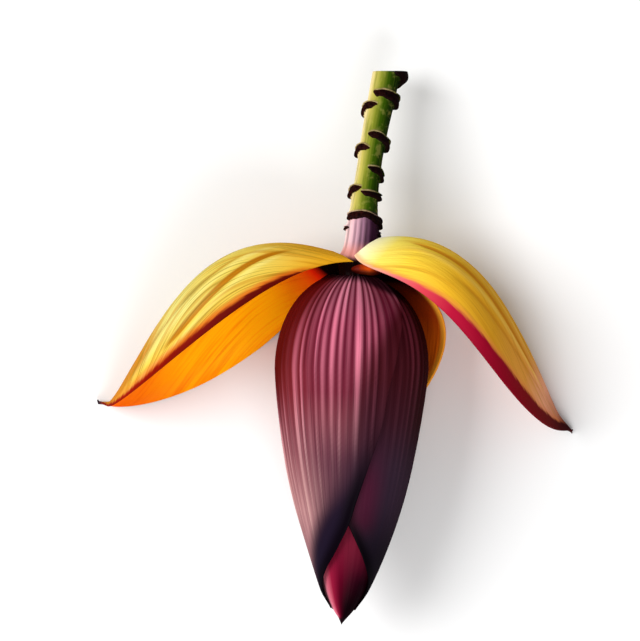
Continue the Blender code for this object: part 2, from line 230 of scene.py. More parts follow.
def irregular_ribs(position, count, seed, uneven, lowest):
    """Rib pattern over positions 0 to 1: the place within its rib, 0 to 1, and each rib's own height.

    Rib widths are seeded random shares of an even width, and heights lie between lowest and 1.
    """
    rng = np.random.default_rng(seed)
    widths = rng.uniform(1 - uneven, 1 + uneven, count)
    edges = np.concatenate([[0], np.cumsum(widths)]) / widths.sum()
    heights = rng.uniform(lowest, 1.0, count)
    phase = np.interp(position, edges, np.arange(count + 1))
    index = np.clip(phase.astype(int), 0, count - 1)
    return phase - index, heights[index]


def add_object(name, data):
    """A new object in the scene."""
    made = bpy.data.objects.new(name, data)
    bpy.context.scene.collection.objects.link(made)
    return made


def add_piece(node, points, faces, material, values):
    """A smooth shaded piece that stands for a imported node, its faces turned outward.

    values are the numbers, one for each point, that the material reads as attributes. The faces are
    turned by the sign of the enclosed volume.
    """
    halves = [part[:, :3] for part in faces] + [part[:, [0, 2, 3]] for part in faces if part.shape[1] == 4]
    a, b, c = (points[corner] for corner in np.concatenate(halves).T)
    if np.einsum("ij,ij->i", a, np.cross(b, c)).sum() < 0:
        faces = [part[:, ::-1] for part in faces]
    mesh = bpy.data.meshes.new(node)
    mesh.from_pydata(points.tolist(), [], [face for part in faces for face in part.tolist()])
    for key, value in values.items():
        kind = "FLOAT_VECTOR" if value.ndim == 2 else "FLOAT"
        layer = mesh.attributes.new(key, kind, "POINT")
        layer.data.foreach_set("vector" if value.ndim == 2 else "value", value.ravel())
    mesh.shade_smooth()
    mesh.materials.append(material)
    piece = add_object(node, mesh)
    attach(piece, BODY)
    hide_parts(node)


def ring_faces(rows, around):
    """Quads between neighbouring closed rings of points."""
    i, j = np.meshgrid(np.arange(rows - 1), np.arange(around), indexing="ij")
    here, there = i * around, (i + 1) * around
    after = (j + 1) % around
    return np.stack([here + j, here + after, there + after, there + j], axis=-1).reshape(-1, 4)


def add_turned(node, rings, material, values):
    """A closed piece through rings of points, each end closed by a fan to its ring's middle.

    values hold a grid for each attribute, and a fan's middle takes the mean of its ring.
    """
    rows, around = rings.shape[:2]
    points = np.vstack([rings.reshape(-1, 3), rings[0].mean(axis=0), rings[-1].mean(axis=0)])
    j = np.arange(around)
    after, last = (j + 1) % around, (rows - 1) * around
    start = np.full(around, rows * around)
    fans = [np.stack([start, after, j], axis=-1), np.stack([start + 1, last + j, last + after], axis=-1)]
    filled = {}
    for key, value in values.items():
        grid = value.reshape(rows, around, -1)
        flat = np.vstack([grid.reshape(rows * around, -1), grid[[0, -1]].mean(axis=1)])
        filled[key] = flat if flat.shape[1] > 1 else flat[:, 0]
    add_piece(node, points, [ring_faces(rows, around)] + fans, material, filled)


RIM_STEPS = 5


def add_sheet(node, outer, inner, material, values):
    """A closed sheet between an outer and an inner grid, with half round margins and closed ends.

    Each row becomes a closed section that starts at the middle of the near rim, runs over the outer
    points, round the far rim and back over the inner points. A rim is a half circle on the line that
    joins the two margins, bulging away from the sheet. Both ends are closed by joining each outer point
    to the inner point under it. values hold a grid for each attribute; "inside" is added here.
    """
    rows, columns = outer.shape[:2]
    phi = np.linspace(0, math.pi, RIM_STEPS + 2)[1:-1]
    middle = RIM_STEPS // 2

    def rim(edge, neighbour):
        """The half circle of each row at one margin, bulging away from the neighbouring column."""
        centre = (outer[:, edge] + inner[:, edge]) / 2
        half = (outer[:, edge] - inner[:, edge]) / 2
        away = outer[:, edge] - outer[:, neighbour]
        away -= (away * unit(half)).sum(-1, keepdims=True) * unit(half)
        bulge = unit(away) * np.linalg.norm(half, axis=-1, keepdims=True)
        return (centre[:, None] + half[:, None] * np.cos(phi)[None, :, None]
                + bulge[:, None] * np.sin(phi)[None, :, None])

    def around(outside, inside, near, far):
        """One closed section per row, from its outer and inner points and those of its two rims."""
        parts = [near[:, middle::-1], outside, far, inside[:, ::-1], near[:, :middle:-1]]
        return np.concatenate(parts, axis=1)

    loops = around(outer, inner, rim(0, 1), rim(-1, -2))
    spread = np.ones((1, RIM_STEPS, 1))
    turned = (phi / math.pi)[None, :, None] * np.ones((rows, 1, 1))
    zeros = np.zeros((rows, columns, 1))
    filled = {"inside": around(zeros, zeros + 1, turned, turned)[..., 0].ravel()}
    for key, value in values.items():
        grid = value.reshape(rows, columns, -1)
        looped = around(grid, grid, grid[:, :1] * spread, grid[:, -1:] * spread)
        flat = looped.reshape(-1, looped.shape[-1])
        filled[key] = flat if flat.shape[1] > 1 else flat[:, 0]
    count = loops.shape[1]
    p = np.arange(1, count // 2 - 1)
    cap = np.stack([p, p + 1, count - p - 1, count - p], axis=-1)
    tips = np.array([[0, 1, count - 1], [count // 2, count // 2 + 1, count // 2 - 1]])
    top = (rows - 1) * count
    faces = [ring_faces(rows, count), cap[:, ::-1], cap + top, tips[:, ::-1], tips + top]
    add_piece(node, loops.reshape(-1, 3), faces, material, filled)


# ---------------------------------------------------------------- the bud

def heart_outline(station):
    """Distance below the bud's top and radius of the heart, and its outward normal (down, out).

    Station runs from -1 at the top through 0 at the widest place to 1 at the tip: a superellipse
    quarter, then the taper (1 - t^a)^b.
    """
    def outline(s):
        """Distance down and radius at stations s."""
        quarter = np.clip(1 + s, 0, 1) * math.pi / 2
        power = 2 / SHOULDER_POWER
        shoulder = WIDEST_BELOW_TOP - HEART_BELOW_TOP
        t = np.sin(np.clip(s, 0, 1) * math.pi / 2)
        down = np.where(s < 0, WIDEST_BELOW_TOP - shoulder * np.cos(quarter) ** power,
                        WIDEST_BELOW_TOP + (BUD_LENGTH - WIDEST_BELOW_TOP) * t)
        taper = (1 - t ** TAPER_POWERS[0]) ** TAPER_POWERS[1]
        return down, HEART_RADIUS * np.where(s < 0, np.sin(quarter) ** power, taper)

    step, gap = 0.002, 1e-6
    down, radius = outline(station)
    down_before, radius_before = outline(np.maximum(station - step, gap - 1))
    down_after, radius_after = outline(np.minimum(station + step, 1 - gap))
    normal = unit(np.stack([radius_before - radius_after, down_after - down_before], axis=-1))
    return down, radius, normal


def bud_point(down, radius, angle):
    """Place of a point given by its distance down the bud, radius and angle in degrees.

    The bud's middle line is its axis, bowed sideways by a sine of t^1.5 between the widest place and
    the tip.
    """
    turn = np.radians(angle)[..., None]
    outward = BUD_SIDE * np.sin(turn) + BUD_UP * np.cos(turn)
    t = np.clip((down - WIDEST_BELOW_TOP) / (BUD_LENGTH - WIDEST_BELOW_TOP), 0, 1)
    bow = BUD_BOW * np.sin(math.pi * t ** 1.5)
    return BUD_TOP + BUD_AXIS * down[..., None] + BUD_SIDE * bow[..., None] + outward * radius[..., None]


def pitch_at(down):
    """One closed bract and the gap under it: full over the belly, thinner to the tip, where it hugs."""
    share = down / BUD_LENGTH
    pitch = PITCH_BELLY + (PITCH_TIP - PITCH_BELLY) * smoothstep(*PITCH_THINS, share)
    return pitch * (1 - (1 - HUG_SHARE) * smoothstep(*PITCH_HUGS, share))


# Ribs of the closed bud, which fan round it between two angles.
RIBS_IN_FAN = 72
FAN_START, FAN_TURN = -258.4, 520
RIB_UNEVEN, RIB_LOWEST = 0.42, 0.24
RIB_WANDER = 0.0011
RIB_SWELL = 0.22
RIB_POWER, RIB_POWER_GAIN = 1.15, 1.45
RIB_MIDDLE = 0.35
RIB_SEED = 5
# Fine lines over them.
FINE_IN_RIB = 4
FINE_UNEVEN, FINE_LOWEST = 0.5, 0.1
FINE_RELIEF = 0.06 * MM
# Both ease off towards a bract's margins and its tip.
MARGIN_EASE = 4 * MM
TIP_EASE = 12 * MM


def pleats(angle, down, fade):
    """Height 0 to 1 of the ribs round a closed bract, and the same for its fine lines.

    Ribs lie at even angles, with uneven widths and heights, and each swells and sinks along its length
    by a sine of its own phase. Near the top they are round rods, lower down their crests are narrow:
    the profile is a sine raised to a power that grows with the distance.
    """
    position = np.clip((angle - FAN_START) / FAN_TURN, 0, 1)
    share = down / BUD_LENGTH
    wander = RIB_WANDER * waver(share, RIB_SEED + 1, 3)
    place, height = irregular_ribs(position + wander, RIBS_IN_FAN, RIB_SEED, RIB_UNEVEN, RIB_LOWEST)
    swell = 1 - RIB_SWELL + RIB_SWELL * np.sin(11 * share + 40 * height)
    power = RIB_POWER + RIB_POWER_GAIN * smoothstep(0.1, 0.4, share)
    ribs = np.sin(np.pi * place) ** power * height * swell * fade
    fine_place, fine_height = irregular_ribs(position + 1.4 * wander, RIBS_IN_FAN * FINE_IN_RIB,
                                             RIB_SEED + 2, FINE_UNEVEN, FINE_LOWEST)
    return ribs, np.sin(np.pi * fine_place) * fine_height


def rib_fade(down, angle, strength, end, reach, longer_left, lower_right):
    """How high the ribs of a closed bract stand, 0 to 1.

    They fade over a reach towards an end, both shares of the bud's length. The end lies longer_left
    further down at the left, and lower_right is the share of their height that they lose at the right.
    """
    end = end + longer_left * smoothstep(0, -60, angle)
    left_over = 1 - lower_right * smoothstep(20, 60, angle)
    return strength * smoothstep(end, end - reach, down / BUD_LENGTH) * left_over


# Edges of the pink region, partly the bud's own pink and partly painted light: (share of the bud's
# length, angle in degrees).
PINK_AND_LIT_RIGHT = [(0, 66), (0.05, 60), (0.165, 25), (0.22, 14), (0.366, 2), (0.51, -2), (0.65, -16),
               (0.71, -36), (0.8, -60), (1, -75)]
PINK_AND_LIT_LEFT = [(0, -26), (0.1, -35), (0.165, -46), (0.28, -57), (0.4, -80), (0.5, -104), (1, -110)]


def flush(down, angle):
    """Where the bud is pink, 0 to 1, partly its own colour and partly painted light: a tongue from the
    front of its top down to its left side.

    It lies between a smooth step at its left edge and one at its right edge, softer towards the tip.
    """
    share = down / BUD_LENGTH
    right, left = smooth_through(PINK_AND_LIT_RIGHT, share), smooth_through(PINK_AND_LIT_LEFT, share)
    soft = 8 + 10 * share
    return smoothstep(right + soft, right - soft, angle) * smoothstep(left - 20, left + 20, angle)


def add_closed_bract(node, layer, margins, rib_height, fade, material, size):
    """A ribbed bract of the closed bud: the part of a surface round the heart between two margins.

    Its outer side is the heart's outline moved out along its normal by `layer` pitches and the relief,
    and its inner side lies a share of a pitch under that. The relief is that of the ribs, rib_height
    where they stand fully, and of their fine lines. fade holds the numbers of rib_fade, and size the
    rows and columns of the grid.
    """
    rows, columns = size
    tip = margins["right"][-1][0] * MM
    last = 2 / math.pi * math.asin(min(1, (tip - WIDEST_BELOW_TOP) / (BUD_LENGTH - WIDEST_BELOW_TOP)))
    station = np.linspace(NECK_OPENING - 1, last, rows)
    down, radius, normal = heart_outline(station)
    left = smooth_through(margins["left"], down / MM)
    right = smooth_through(margins["right"], down / MM)
    angle = left[:, None] + (right - left)[:, None] * np.linspace(0, 1, columns)[None, :]
    flat = np.ones_like(angle)

    def surface(offset):
        """Points at an offset from the heart's outline along its normal."""
        below = down[:, None] + normal[:, :1] * offset
        return bud_point(below, radius[:, None] + normal[:, 1:] * offset, angle)

    pitch = pitch_at(down)[:, None]
    smooth = surface(layer * pitch * flat)
    edge = np.minimum(arc_lengths(smooth, 1), arc_lengths(smooth[:, ::-1], 1)[:, ::-1])
    eased = smoothstep(0, MARGIN_EASE, edge) * smoothstep(tip, tip - TIP_EASE, down)[:, None]
    ribs, fine = pleats(angle, down[:, None], rib_fade(down[:, None], angle, *fade))
    relief = (rib_height * (ribs - RIB_MIDDLE) + FINE_RELIEF * (fine - 0.5)) * eased
    outer = surface(layer * pitch + relief)
    inner = surface((layer - BRACT_SHARE) * pitch * flat)
    along = down[:, None] / BUD_LENGTH * flat
    skin = np.stack([np.radians(angle) * HEART_RADIUS, along * BUD_LENGTH, flat * layer * 0.1], axis=-1)
    values = {"along": along, "angle": angle, "rib": ribs, "edge": edge / MM, "skin": skin,
              "flush": flush(down[:, None], angle)}
    add_sheet(node, outer, inner, material, values)


HEART_FIRST, HEART_LAST = -0.985, 0.89
HEART_RIBS = 34
HEART_RELIEF = 0.1 * MM
HEART_HOOK = 0.5 * MM
POINT_LENGTH = 2.8 * MM
POINT_RADIUS = 0.2 * MM
POINT_POWER = 1.15
CONE_RINGS = 12


def add_heart(material, size):
    """The nest's solid heart: the heart's outline with low lengthwise ribs, and a hooked point.

    The ribs are a sine of 34 turns, bent by one of 5, and flatten where the heart is narrow. The last
    stretch is a cone to a small radius, which falls by a power and is pushed sideways for the hook.
    size is the number of rings before the cone, and of points in a ring.
    """
    rows, around = size
    station = np.linspace(HEART_FIRST, HEART_LAST, rows)
    down, radius, _ = heart_outline(station)
    point = np.linspace(0.1, 1, CONE_RINGS)
    end = BUD_LENGTH + POINT_LENGTH
    down = np.concatenate([down, down[-1] + (end - down[-1]) * point])
    cone = (radius[-1] - POINT_RADIUS) * (1 - point) ** POINT_POWER + POINT_RADIUS
    radius = np.concatenate([radius, cone])
    angle = np.linspace(-180, 180, around, endpoint=False)[None, :] * np.ones((len(down), 1))
    down_grid = down[:, None] + np.zeros_like(angle)
    turn = np.radians(angle)
    ribs = 0.5 + 0.5 * np.sin(turn * HEART_RIBS + 1.3 * np.sin(turn * 5))
    relief = HEART_RELIEF * ribs * smoothstep(0, 0.5, radius / HEART_RADIUS)[:, None]
    hook = HEART_HOOK * smoothstep(BUD_LENGTH - 2 * MM, end, down)[:, None, None] * BUD_SIDE
    rings = bud_point(down_grid, radius[:, None] - HEART_RELIEF + relief, angle) - hook
    skin = np.stack([turn * HEART_RADIUS, down_grid, 0.4 * np.ones_like(angle)], axis=-1)
    values = {"along": down_grid / BUD_LENGTH, "angle": angle, "skin": skin}
    add_turned("bud_heart", rings, material, values)


# ---------------------------------------------------------------- the raised bracts

def raised_surface(node, guides, rows, columns):
    """Grid of a raised bract's outer surface, base to tip and near margin to far margin.

    At each station the section is P = C + A sin(a) + B (1 - cos(a)), where a runs over the half turn
    from one margin to the other, C is on the middle line, and A and B carry the section's ends to
    the two margins. The last stretch is drawn out to a hooked point.
    """
    u = np.linspace(0, 1, rows)
    near, middle, far = (bezier(from_shares(node, guides[line]), u) for line in ("near", "middle", "far"))
    half = math.radians(guides["half_turn"])
    across = (near - far) / (2 * math.sin(half))
    rise = ((near + far) / 2 - middle) / (1 - math.cos(half))
    a = np.linspace(half, -half, columns)
    grid = (middle[:, None] + across[:, None] * np.sin(a)[None, :, None]
            + rise[:, None] * (1 - np.cos(a))[None, :, None])
    hook = smoothstep(HOOK_FROM, 1, u)[:, None, None] ** 2 * np.array(guides["hook"]) * MM
    return grid + hook, -rise[rows // 2]


# Fine relief of the raised bracts. It is full where a bract is at least so wide, and eases off
# towards the margins.
VEINS = 46
VEIN_UNEVEN, VEIN_LOWEST = 0.3, 0.55
VEIN_HEIGHT = 0.2 * MM
WAVER_HEIGHT = 0.35 * MM
FOLD_WANDER, VEIN_WANDER = 0.006, 0.004
FOLD_FADE = 0.15
FULL_RELIEF_WIDTH = 60 * MM
FOLD_EASE, WAVER_EASE = 5 * MM, 10 * MM
LOWEST = 0.02 * MM
LEAST_THICKNESS = 0.5 * MM


def add_raised_bract(node, guides, folds, band, material, size, seed):
    """A raised bract: a folded sheet, thickest along its middle near the base, thin at its margins.

    folds are (place across at the base, place at the tip, width, height in mm, from, to): a fold is a
    Gaussian ridge or valley along a line that crosses the sheet, fading in and out along it. band is
    the width in mm of the tinted strip along the near margin, through (along, width) points. Veins are
    low sine ribs. The thickness falls by the cube of the distance from the middle of the base, and again
    by a smooth step near the tip. No part goes below the table. size is the rows and columns of the grid.
    """
    rows, columns = size
    smooth, outward = raised_surface(node, guides, rows, columns)
    u = np.linspace(0, 1, rows)[:, None]
    v = np.linspace(0, 1, columns)[None, :]
    normal = grid_normals(smooth, outward)
    near = arc_lengths(smooth, 1)
    far = arc_lengths(smooth[:, ::-1], 1)[:, ::-1]
    length = arc_lengths(smooth, 0)
    width = near[:, -1:]
    fold = np.zeros((rows, columns))
    for start, end, spread, height, first, last in folds:
        line = start + (end - start) * u + FOLD_WANDER * waver(u, seed + int(start * 100), 3)
        reach = smoothstep(first, first + FOLD_FADE, u) * (1 - smoothstep(last - FOLD_FADE, last, u))
        fold += height * bell(v, line, spread) * reach
    room = np.clip(width / FULL_RELIEF_WIDTH, 0, 1)
    wandered = v + VEIN_WANDER * waver(u, seed, 3)
    place, vein = irregular_ribs(wandered, VEINS, seed, VEIN_UNEVEN, VEIN_LOWEST)
    veins = VEIN_HEIGHT * np.sin(np.pi * place) * vein
    edge = np.minimum(near, far)
    relief = (fold * MM + veins) * room * smoothstep(0, FOLD_EASE, edge)
    relief += WAVER_HEIGHT * waver(u * 0.8 + v * 0.6, seed + 5, 4) * room * smoothstep(0, WAVER_EASE, edge)
    outer = smooth + normal * relief[..., None]
    share = 1 - (1 - RAISED_MARGIN_SHARE) * np.maximum(np.abs(2 * v - 1), u) ** 3
    share = share * (1 - (1 - RAISED_TIP_SHARE) * smoothstep(THINS_FROM, 1, u))
    inner = outer - normal * (RAISED_THICKNESS * share)[..., None]
    outer[..., 2] = np.maximum(outer[..., 2], LOWEST)
    inner[..., 2] = np.maximum(inner[..., 2], LOWEST + LEAST_THICKNESS * (1 - u ** 4))
    band_width = smooth_through(band, u) * MM
    skin = np.stack([near - width / 2, length, np.full_like(near, 0.1 * seed)], axis=-1)
    values = {"along": u + 0 * v, "across": v + 0 * u, "fold": fold, "edge": edge / MM,
              "band": (near - band_width) / MM, "skin": skin}
    add_sheet(node, outer, inner, material, values)


# ---------------------------------------------------------------- the stalk

def stalk_line(share):
    """Points on the stalk's middle line at shares of its length along Y."""
    points = from_shares("rachis", STALK_LINE)
    known = (points[:, 1] - points[0, 1]) / (points[-1, 1] - points[0, 1])
    return np.stack([smooth_through(np.c_[known, axis], share) for axis in points.T], axis=-1)


def ripple(turn, seed, low, high):
    """A seamless irregular wave round a ring: sines of whole frequencies with seeded phases."""
    rng = np.random.default_rng(seed)
    waves = [np.sin(k * turn + rng.uniform(0, 2 * math.pi)) for k in range(low, high + 1)]
    return sum(waves) / len(waves) ** 0.5


LEDGE_HEIGHT = 1.0 * MM
LEDGE_DEPTH = 4.5 * MM
LEDGE_RAGGED = 0.2 * MM
LEDGE_EASE = 34


def ledge_shapes(share, turn, length):
    """Relief of the ledges in metres, and where their scars and rims are, 0 to 1.

    A ledge's rim is a line round the stalk that drops by K (1 - cos) of the angle from its highest
    place. Above it the green flares out, on it is a thin lip, and below it is the bulging dark scar,
    deepest on the stalk's flanks. Towards its two ends, over LEDGE_EASE degrees, a ledge sinks away.
    """
    angle = np.degrees(turn)
    flank = np.sin(turn)[None, :] ** 2
    relief = np.zeros((len(share), len(turn)))
    scar, rim = relief.copy(), relief.copy()
    for number, (place, start, crest, end, drop, size) in enumerate(LEDGES):
        line = place * length - drop * MM * (1 - np.cos(np.radians(angle - crest)))
        line = line + LEDGE_RAGGED * ripple(turn, number, 4, 9)
        above = share[:, None] * length - line[None, :]
        from_end = (end - start) / 2 - np.abs(angle - (start + end) / 2)
        reach = smoothstep(0, LEDGE_EASE, from_end)[None, :]
        tall = size * LEDGE_HEIGHT * (1 + 1.9 * flank) * reach ** 0.8
        tall = tall * (1 + 0.1 * ripple(turn, number + 20, 3, 8)[None, :])
        depth = size * LEDGE_DEPTH * (0.12 + 0.88 * reach * (0.84 + 0.16 * flank))
        depth = depth * (1 + 0.06 * ripple(turn, number + 40, 3, 7))[None, :]
        below = np.clip(-above / depth, 0, 1)
        bulge = (0.62 + 0.75 * below) * (1 - below ** 4) ** 0.5
        flare = 0.55 * np.exp(-np.clip(above, 0, None) / (1.3 * MM))
        lip = smoothstep(0.9 * MM, 0.45 * MM, above) * (1 - flare)
        relief = np.maximum(relief, tall * np.where(above > 0, flare + lip, bulge))
        shown = smoothstep(0.02, 0.2, reach)
        scar = np.maximum(scar, shown * smoothstep(0.1 * MM, -0.15 * MM, above) * smoothstep(0, 0.25, bulge))
        rim = np.maximum(rim, shown * (above > -0.1 * MM) * smoothstep(1.2 * MM, 0.7 * MM, above))
    return relief, scar, rim


FLUTES = 13
FLUTE_RELIEF = 0.3 * MM
FIBRE_RELIEF = 0.08 * MM
# Where along the stalk the flutes end, the fibres begin, and the rings start to turn square.
FLUTES_END = (0.33, 0.24)
FIBRES_BEGIN = (0.25, 0.35)
SQUARE_FROM = 0.86
# Rings of the cut face: their size as shares of the stalk's, and how far each is sunk, in mm.
CUT_RINGS = [(0.985, 0.06), (0.95, 0.18), (0.88, 0.36), (0.76, 0.3), (0.6, 0.42), (0.42, 0.54),
             (0.24, 0.6), (0.08, 0.6)]


def add_stalk(material, size):
    """The scarred stalk, from its root in the bud's opening to the square cut.

    Rings stand across the middle line. Their radius is the plain stalk's outline, the ledges' relief,
    the neck's flutes (a sine of 13 turns, bent by one of 3) and the fibres' fine ripple. Towards the
    cut the rings turn into planes across Y, and the cut face is a row of shrinking rings. size is the
    number of rings before the cut face, and of points in a ring.
    """
    rows, around = size
    share = np.linspace(0, 1, rows)
    turn = np.linspace(-math.pi, math.pi, around, endpoint=False)
    low, high = node_box("rachis")
    length = high[1] - low[1]
    centre = stalk_line(share)
    tangent = unit(stalk_line(np.minimum(share + 0.01, 1)) - stalk_line(np.maximum(share - 0.01, 0)))
    side = unit(np.cross(tangent, BUD_UP))
    up = np.cross(side, tangent)
    outward = side[:, None] * np.sin(turn)[None, :, None] + up[:, None] * np.cos(turn)[None, :, None]

    radius = smooth_through(STALK_OUTLINE, share)[:, None] * MM
    relief, scar, rim = ledge_shapes(share, turn, length)
    flutes = np.sin(turn * FLUTES + 1.5 * np.sin(turn * 3)) * smoothstep(*FLUTES_END, share)[:, None]
    fibres = ripple(turn, 3, 20, 32)[None, :] * (1 - scar) * smoothstep(*FIBRES_BEGIN, share)[:, None]
    radius = radius + relief + FLUTE_RELIEF * flutes + FIBRE_RELIEF * fibres
    rings = centre[:, None] + outward * radius[..., None]

    square = smoothstep(SQUARE_FROM, 1, share)[:, None]
    plane = high[1] - (1 - share[:, None]) * length
    shift = square * (plane - rings[..., 1]) / tangent[:, None, 1]
    rings = rings + tangent[:, None] * shift[..., None]

    shrink, sunk = np.array(CUT_RINGS).T
    hub = rings[-1].mean(axis=0)
    face = hub + (rings[-1] - hub) * shrink[:, None, None] - tangent[-1] * (sunk * MM)[:, None, None]
    rings = np.concatenate([rings, face])

    def extend(grid, end_value):
        """A grid over the stalk's rings, with a value for each ring of the cut face after it."""
        return np.concatenate([grid + 0 * turn[None, :], end_value[:, None] + 0 * turn[None, :]])

    zero, one = np.zeros(len(shrink)), np.ones(len(shrink))
    sway = np.sin(turn)[None, :] * np.ones((len(rings), 1))
    wrap = np.cos(turn)[None, :] * np.ones((len(rings), 1))
    along = extend(share[:, None], one)
    values = {
        "along": along, "scar": extend(scar, zero), "rim": extend(rim, zero),
        "cut": extend(0 * share[:, None], one), "core": extend(0 * share[:, None] + 1, shrink), "sway": sway,
        "flute": extend(flutes, zero),
        "skin": np.stack([wrap * STALK_RADIUS, sway * STALK_RADIUS, along * length], axis=-1),
    }
    add_turned("rachis", rings, material, values)


# Cushion: the neck's middle as a share of the cushion's box, where it starts and how far it turns
# in degrees, its distance from the neck's middle line, and half the size of its section.
CUSHION_NECK_SHARE = 0.245
CUSHION_START, CUSHION_TURN = -18, 96
CUSHION_INNER_RADIUS = 13.4 * MM
CUSHION_HALF_ACROSS, CUSHION_HALF_ALONG = 2.4 * MM, 3.6 * MM


def add_flower_cushion(material, size):
    """The crescent of flower bases round the neck: a smooth oval swept through part of a turn.

    The oval swells and sinks as a sine to the power 0.6, with three faint waves. size is the number of
    rings, and of points in a ring.
    """
    rows, around = size
    low, high = node_box("flower_cushion")
    neck = np.array([low[0] + CUSHION_NECK_SHARE * (high[0] - low[0]), (low[1] + high[1]) / 2, BUD_TOP[2]])
    t = np.linspace(0, 1, rows)
    turn = np.radians(CUSHION_START + CUSHION_TURN * t)
    swell = np.sin(0.12 + (math.pi - 0.24) * t) ** 0.6 * (1 - 0.03 * np.cos(2 * math.pi * 3 * t))
    outward = np.stack([np.sin(turn), np.zeros(rows), np.cos(turn)], axis=-1)
    section = np.linspace(0, 2 * math.pi, around, endpoint=False)
    reach = CUSHION_HALF_ACROSS * swell[:, None] * (1 + np.cos(section)[None, :])
    rings = neck + outward[:, None] * (CUSHION_INNER_RADIUS + reach)[..., None]
    rings[..., 1] += CUSHION_HALF_ALONG * swell[:, None] * np.sin(section)[None, :]
    values = {"along": t[:, None] + 0 * section[None, :], "skin": rings[..., [1, 0, 2]],
              "sway": np.sin(section)[None, :] + 0 * t[:, None]}
    add_turned("flower_cushion", rings, material, values)


# ---------------------------------------------------------------- material nodes

class Field:
    """A number, vector or colour that varies over a surface: one output socket of a node tree."""

    def __init__(self, socket):
        self.socket = socket
        self.tree = socket.id_data

    def __mul__(self, other):
        return calc(self.tree, "MULTIPLY", self, other)

    def __sub__(self, other):
        return calc(self.tree, "SUBTRACT", self, other)

    def times_plus(self, factor, addend):
        """This number times a factor, plus an addend."""
        return calc(self.tree, "MULTIPLY_ADD", self, factor, addend)

    def step(self, low, high):
        """A smooth step of this number from 0 at low to 1 at high."""
        return put(self.tree, "ShaderNodeMapRange", {"Value": self, "From Min": low, "From Max": high},
                   interpolation_type="SMOOTHSTEP")

    def ramp(self, *stops):
        """Colour of this number through stops, each its place and an 8-bit display colour."""
        made = put(self.tree, "ShaderNodeValToRGB", {"Fac": self})
        elements = made.socket.node.color_ramp.elements
        while len(elements) < len(stops):
            elements.new(0.5)
        for element, (place, *colour) in zip(elements, stops):
            element.position = place
            element.color = linear(colour)
        return made

    def mix(self, under, over):
        """One colour where this number is 0, another where it is 1."""
        return put(self.tree, "ShaderNodeMix", {0: self, 6: linear(under), 7: linear(over)}, 2,
                   data_type="RGBA")


def linear(colour):
    """The linear colour of an 8-bit display colour; a Field is a colour already."""
    if isinstance(colour, Field):
        return colour
    value = np.array(colour) / 255
    return (*np.where(value < 0.04045, value / 12.92, ((value + 0.055) / 1.055) ** 2.4).tolist(), 1)


def put(tree, kind, inputs, output=0, **settings):
    """An output of a new node with its settings; each input is linked to a Field or set to a value."""
    made = tree.nodes.new(kind)
    for key, value in settings.items():
        setattr(made, key, value)
    for key, value in inputs.items():
        if isinstance(value, Field):
            tree.links.new(value.socket, made.inputs[key])
        else:
            made.inputs[key].default_value = value
    return Field(made.outputs[output])


def calc(tree, operation, *numbers):
    """Output of a Math node."""
    return put(tree, "ShaderNodeMath", dict(enumerate(numbers)), operation=operation)


def read(tree, *names):
    """The piece's own attributes as numbers; the skin vector is read with its Vector output."""
    found = [put(tree, "ShaderNodeAttribute", {}, "Vector" if name == "skin" else "Fac", attribute_name=name)
             for name in names]
    return found if len(found) > 1 else found[0]


def layers(colour, *laid):
    """Colours laid over one another, each given as its mask, strength and colour."""
    for mask, strength, over in laid:
        colour = (mask * strength).mix(colour, over)
    return colour


# Kinds of the group sockets that aren't numbers.
SOCKET_KINDS = {"Skin": "NodeSocketVector", "Color": "NodeSocketColor"}


def make_group(work, output, **inputs):
    """A shader group named after the function that works out its one output from its inputs.

    inputs give each input's default value, or None where it is always linked.
    """
    group = bpy.data.node_groups.new(work.__name__, "ShaderNodeTree")
    for key in inputs:
        kind = SOCKET_KINDS.get(key, "NodeSocketFloat")
        socket = group.interface.new_socket(key, in_out="INPUT", socket_type=kind)
        if inputs[key] is not None:
            socket.default_value = inputs[key]
    kind = SOCKET_KINDS.get(output, "NodeSocketFloat")
    group.interface.new_socket(output, in_out="OUTPUT", socket_type=kind)
    given = group.nodes.new("NodeGroupInput")
    result = group.nodes.new("NodeGroupOutput")
    made = work(group, *[Field(given.outputs[key]) for key in inputs])
    group.links.new(made.socket, result.inputs[output])
    return group


def use(tree, group, **values):
    """The output of a group placed in a tree with its own values."""
    return put(tree, "ShaderNodeGroup", values, node_tree=group)


def noise_about_half(tree, contrast, **inputs):
    """Noise whose distance from one half is multiplied by a contrast, kept between 0 and 1."""
    centred = put(tree, "ShaderNodeTexNoise", inputs) - 0.5
    return put(tree, "ShaderNodeClamp", {"Value": centred.times_plus(contrast, 0.5)})


def lengthwise_streaks(tree, skin, width, length, contrast):
    """Streaks: noise on the skin vector, stretched along the piece.

    Width and length are the streaks' size in metres. Contrast widens the values about one half.
    """
    across, along = (calc(tree, "DIVIDE", 1.0, size) for size in (width, length))
    scale = put(tree, "ShaderNodeCombineXYZ", {"X": across, "Y": along, "Z": SKIN_THIRD_SCALE})
    place = put(tree, "ShaderNodeVectorMath", {0: skin, 1: scale}, operation="MULTIPLY")
    return noise_about_half(tree, contrast, Vector=place, Scale=1.0, Detail=3.0, Roughness=0.55)


def soft_blotches(tree, size, contrast):
    """Blotches: noise on Object coordinates, of a size in metres."""
    place = put(tree, "ShaderNodeTexCoord", {}, "Object")
    scale = calc(tree, "DIVIDE", 1.0, size)
    return noise_about_half(tree, contrast, Vector=place, Scale=scale, Detail=4.0, Roughness=0.6)


def skin_height(tree, skin, fibres, cells):
    """Height of a plant skin for a Bump node: fine lengthwise fibres and a pebbled cell texture."""
    fine = use(tree, STREAKS, Skin=skin, Width=FIBRE_WIDTH, Length=FIBRE_LENGTH, Contrast=1.2)
    place = put(tree, "ShaderNodeTexCoord", {}, "Object")
    pebbled = put(tree, "ShaderNodeTexNoise", {"Vector": place, "Scale": CELLS_IN_A_METRE, "Detail": 2.0})
    return fine.times_plus(fibres, pebbled * cells)


